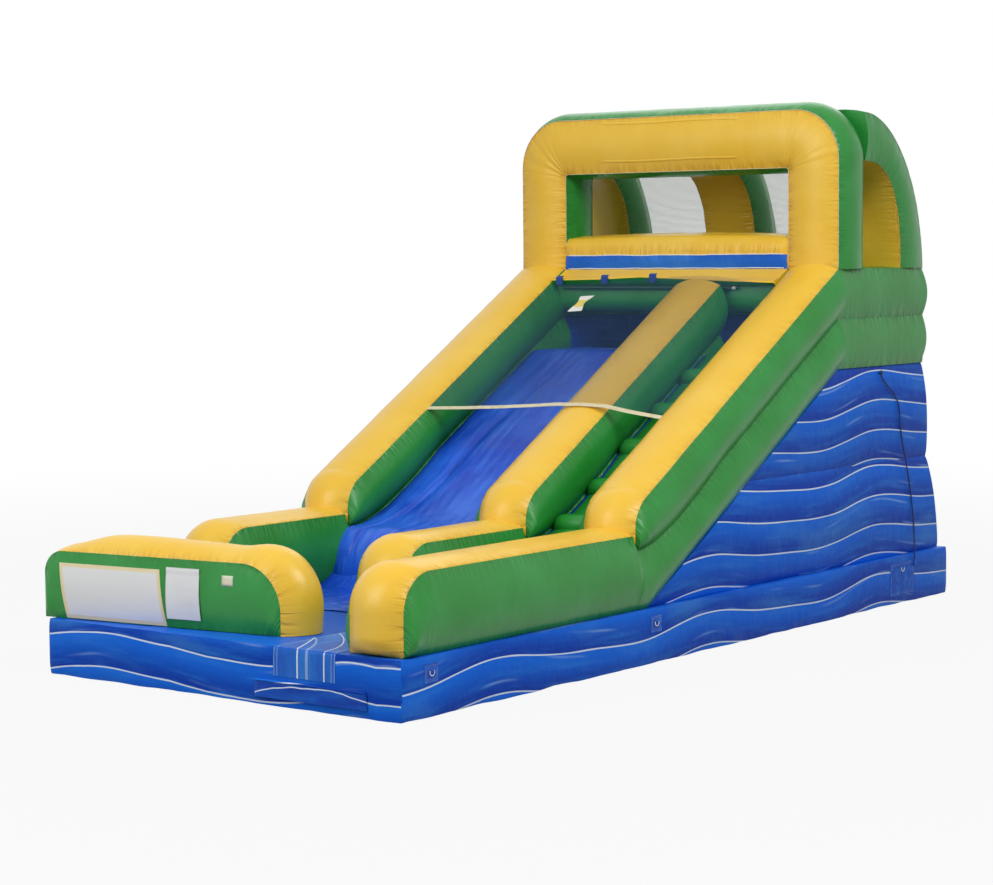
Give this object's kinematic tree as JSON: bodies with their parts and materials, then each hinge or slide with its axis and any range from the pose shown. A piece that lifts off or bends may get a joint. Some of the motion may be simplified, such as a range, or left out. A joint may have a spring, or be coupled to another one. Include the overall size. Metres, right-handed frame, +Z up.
{
  "type": "inflatable water slide",
  "caption": "Inflatable water slide: a sliding lane and a climbing lane between stacked tube walls, under a net, lead to a platform tower with a window, arches and mesh.",
  "frame": {"origin": "on the ground, at the centre of the base chamber's footprint", "axes": "+Z up, -Y the way the slide runs out, +X the climbing lane's side"},
  "size_m": [3.7731, 8.7286, 4.69],
  "materials": {
    "yellow_vinyl": "glossy coated fabric",
    "green_vinyl": "glossy coated fabric",
    "blue_marble_vinyl": "glossy coated fabric with a marble print",
    "blue_liner_vinyl": "glossy coated fabric",
    "grey_mesh": "woven mesh",
    "dark_net": "knotted net",
    "cream_webbing": "woven webbing",
    "blue_webbing": "woven webbing",
    "white_panel": "satin sheet",
    "zinc_steel": "zinc plated",
    "black_plastic": "moulded",
    "blue_rope": "braided"
  },
  "bodies": {
    "slide_body": {"base_platform": "blue_marble_vinyl", "lower_storey": "blue_marble_vinyl", "upper_storey": "blue_marble_vinyl", "left_lower_tube": "green_vinyl", "divider_lower_tube": "green_vinyl", "right_lower_tube": "green_vinyl", "left_upper_tube": "green_vinyl", "divider_upper_tube": "green_vinyl", "right_upper_tube": "green_vinyl", "slide_bed": "blue_liner_vinyl", "climb_bed": "green_vinyl", "slide_liner": "blue_liner_vinyl", "stop_bumper": "green_vinyl", "lower_band": "green_vinyl", "upper_band": "green_vinyl", "platform_floor": "blue_marble_vinyl", "left_arch_column": "yellow_vinyl", "right_arch_column": "yellow_vinyl", "arch_top_beam": "yellow_vinyl", "window_sill": "yellow_vinyl", "left_side_arch": "green_vinyl", "middle_arch": "yellow_vinyl", "right_side_arch": "green_vinyl", "left_rear_mesh": "grey_mesh", "right_rear_mesh": "grey_mesh", "climb_step_1": "green_vinyl", "climb_step_2": "green_vinyl", "climb_step_3": "green_vinyl", "climb_step_4": "green_vinyl", "climb_step_5": "green_vinyl", "climb_handle_1": "blue_webbing", "climb_handle_2": "blue_webbing", "lane_net": "dark_net", "net_strap": "cream_webbing", "net_hem": "blue_webbing", "spray_hose": "blue_liner_vinyl", "entry_mat": "blue_marble_vinyl", "zip_tape": "black_plastic", "sign_panel": "white_panel", "left_front_anchor": "cream_webbing", "left_middle_anchor": "cream_webbing", "left_rear_anchor": "cream_webbing", "right_front_anchor": "cream_webbing", "right_middle_anchor": "cream_webbing", "right_rear_anchor": "cream_webbing", "filling_sleeve": "blue_marble_vinyl", "sleeve_tie": "blue_webbing", "tether_rope": "blue_rope", "tether_knot": "blue_rope"},
    "nut": {"hose_swivel_nut": "white_panel"},
    "flap": {"zip_flap": "blue_marble_vinyl"},
    "slider": {"zip_slider": "zinc_steel"},
    "sign": {"sign_flap": "white_panel"},
    "tag": {"hang_tag": "white_panel"},
    "left_front_d_ring": {"left_front_ring": "zinc_steel"},
    "left_middle_d_ring": {"left_middle_ring": "zinc_steel"},
    "left_rear_d_ring": {"left_rear_ring": "zinc_steel"},
    "right_front_d_ring": {"right_front_ring": "zinc_steel"},
    "right_middle_d_ring": {"right_middle_ring": "zinc_steel"},
    "right_rear_d_ring": {"right_rear_ring": "zinc_steel"}
  },
  "joints": [
    {"name": "nut_swivel", "type": "hinge", "parent": "slide_body", "child": "nut", "pos_m": [0.7986, 1.91, 2.98], "axis": [1, 0, 0], "continuous": true},
    {"name": "zip_flap_fold", "type": "hinge", "parent": "slide_body", "child": "flap", "pos_m": [0.43, -4.1483, 0.1777], "axis": [-1, 0, 0], "range_deg": [0, 120]},
    {"name": "zip_slide", "type": "slide", "parent": "slide_body", "child": "slider", "axis": [1, 0, 0], "range_m": [0, 0.97]},
    {"name": "sign_flap_lift", "type": "hinge", "parent": "slide_body", "child": "sign", "pos_m": [-0.70887, -3.93967, 0.92], "axis": [-0.9921, -0.1253, 0], "range_deg": [0, 90]},
    {"name": "tag_lift", "type": "hinge", "parent": "slide_body", "child": "tag", "pos_m": [-0.74012, 1.61818, 2.89269], "axis": [-0.9995, 0.0164, -0.028], "range_deg": [0, 100]},
    {"name": "left_front_ring_swing", "type": "hinge", "parent": "slide_body", "child": "left_front_d_ring", "pos_m": [-1.8398, -3.8, 0.34], "axis": [0, 1, 0], "range_deg": [0, 150]},
    {"name": "left_middle_ring_swing", "type": "hinge", "parent": "slide_body", "child": "left_middle_d_ring", "pos_m": [-1.8398, -0.92, 0.34], "axis": [0, 1, 0], "range_deg": [0, 150]},
    {"name": "left_rear_ring_swing", "type": "hinge", "parent": "slide_body", "child": "left_rear_d_ring", "pos_m": [-1.8398, 3.22, 0.34], "axis": [0, 1, 0], "range_deg": [0, 150]},
    {"name": "right_front_ring_swing", "type": "hinge", "parent": "slide_body", "child": "right_front_d_ring", "pos_m": [1.8398, -3.8, 0.34], "axis": [0, -1, 0], "range_deg": [0, 150]},
    {"name": "right_middle_ring_swing", "type": "hinge", "parent": "slide_body", "child": "right_middle_d_ring", "pos_m": [1.8398, -0.92, 0.34], "axis": [0, -1, 0], "range_deg": [0, 150]},
    {"name": "right_rear_ring_swing", "type": "hinge", "parent": "slide_body", "child": "right_rear_d_ring", "pos_m": [1.8398, 3.22, 0.34], "axis": [0, -1, 0], "range_deg": [0, 150]}
  ]
}
